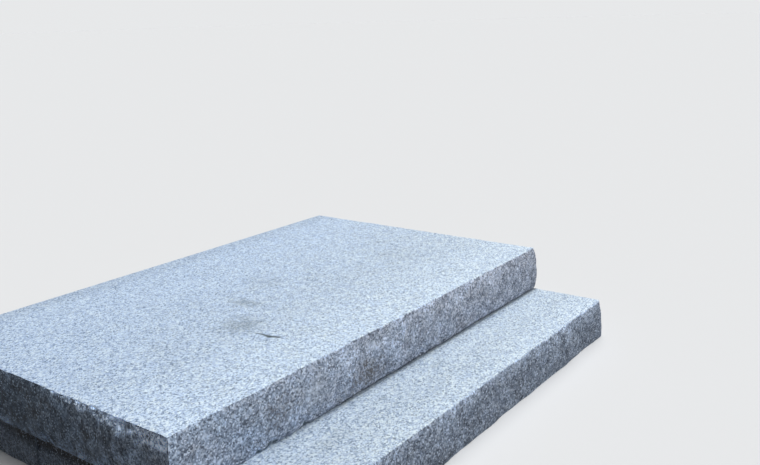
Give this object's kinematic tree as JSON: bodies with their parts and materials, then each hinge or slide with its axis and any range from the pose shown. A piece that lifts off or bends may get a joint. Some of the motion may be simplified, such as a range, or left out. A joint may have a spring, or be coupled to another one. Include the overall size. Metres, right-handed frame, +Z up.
{
  "type": "outdoor granite steps",
  "caption": "Granite entrance steps: a split-faced landing slab over a matching front step, with a base course of stones set back under the sides and rear.",
  "frame": {"origin": "on the ground under the middle of the steps' bounding box", "axes": "+X to the right along the wall that the steps stand against, +Y towards that wall, +Z up"},
  "size_m": [1.864, 1.5342, 0.3348],
  "materials": {
    "granite_landing": "matte",
    "granite_step": "matte",
    "granite_base": "matte",
    "shim": "matte"
  },
  "bodies": {
    "root": {"landing_slab": "granite_landing", "front_step": "granite_step", "left_base_front_stone": "granite_base", "left_base_rear_stone": "granite_base", "right_base_front_stone": "granite_base", "right_base_rear_stone": "granite_base", "rear_base_left_stone": "granite_base", "rear_base_middle_stone": "granite_base", "rear_base_right_stone": "granite_base", "step_left_shim": "shim", "step_middle_shim": "shim", "step_right_shim": "shim", "left_base_front_shim_1": "shim", "left_base_front_shim_2": "shim", "left_base_rear_shim_1": "shim", "left_base_rear_shim_2": "shim", "right_base_front_shim_1": "shim", "right_base_front_shim_2": "shim", "right_base_rear_shim_1": "shim", "right_base_rear_shim_2": "shim", "rear_base_left_shim": "shim", "rear_base_middle_shim": "shim", "rear_base_right_shim": "shim"}
  },
  "joints": []
}
